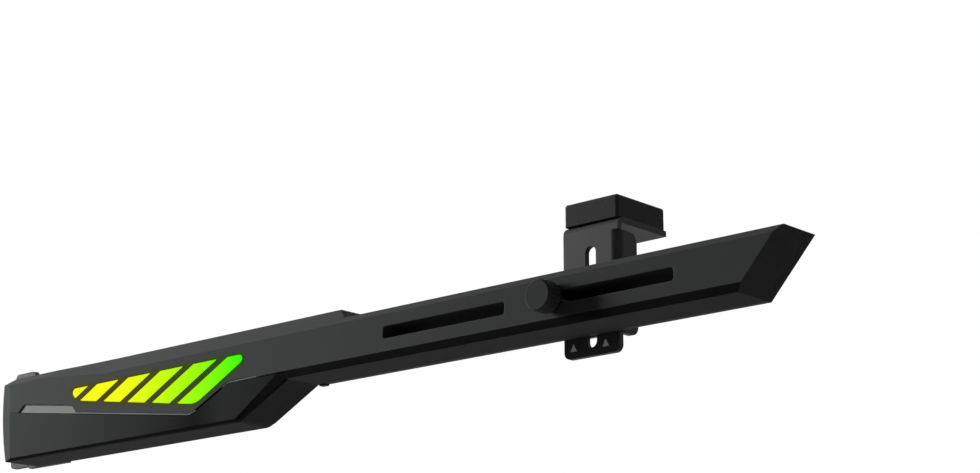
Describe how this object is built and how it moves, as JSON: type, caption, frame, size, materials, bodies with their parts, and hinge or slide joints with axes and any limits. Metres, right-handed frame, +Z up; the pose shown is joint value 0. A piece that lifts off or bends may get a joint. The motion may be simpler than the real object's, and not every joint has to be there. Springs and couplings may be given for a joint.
{
  "type": "graphics card support bracket",
  "caption": "Long slim arm with a faceted, lit head, fixed at one end by case screws; a padded support slides along a slot and up and down to hold up a sagging graphics card.",
  "frame": {"origin": "midway between the two case screws, on the rear face of the back plate's ear", "axes": "+X along the arm from the fixed end to the tip, -Y to the front that is seen, +Z up as fitted in an upright case"},
  "size_m": [0.3048, 0.0409, 0.0453],
  "materials": {
    "arm_plastic": "moulded black plastic with a fine grain",
    "panel_plastic": "moulded black plastic, a shade darker and smoother",
    "accent_plastic": "satin light grey trim",
    "coated_steel": "black powder coat on steel sheet",
    "black_screw": "black zinc plate",
    "light_acrylic": "milky acrylic lit from behind, yellow to green",
    "board_laminate": "white solder resist on glass laminate",
    "led_package": "white moulded package",
    "chip_ceramic": "fired ceramic",
    "zinc_screw": "bright zinc plate",
    "socket_nylon": "natural nylon",
    "pin_brass": "tinned brass",
    "pad_rubber": "soft black rubber",
    "guide_nylon": "black nylon",
    "knob_plastic": "moulded black plastic"
  },
  "bodies": {
    "arm": {"arm_housing": "arm_plastic", "lower_panel": "panel_plastic", "accent_strip": "accent_plastic", "back_plate": "coated_steel", "plate_screws": "black_screw", "light_diffuser": "light_acrylic", "led_board": "board_laminate", "leds": "led_package", "board_capacitors": "chip_ceramic", "board_screws": "zinc_screw", "light_socket": "socket_nylon", "socket_pins": "pin_brass"},
    "carriage": {"slide_guide": "guide_nylon", "clamp_bolt": "black_screw", "clamp_plate": "zinc_screw", "knob_washer": "guide_nylon"},
    "support": {"support_plate": "coated_steel", "support_pad": "pad_rubber"},
    "knob": {"thumb_knob": "knob_plastic", "knob_insert": "pin_brass"}
  },
  "joints": [
    {"name": "slide_along", "type": "slide", "parent": "arm", "child": "carriage", "axis": [1, 0, 0], "range_m": [-0.0018, 0.0335]},
    {"name": "support_lift", "type": "slide", "parent": "carriage", "child": "support", "axis": [0, 0, 1], "range_m": [-0.0135, 0.0069]},
    {"name": "knob_turn", "type": "hinge", "parent": "carriage", "child": "knob", "pos_m": [0.233, -0.0146, 0.00063], "axis": [0, -1, 0], "range_deg": [0, 540]}
  ]
}
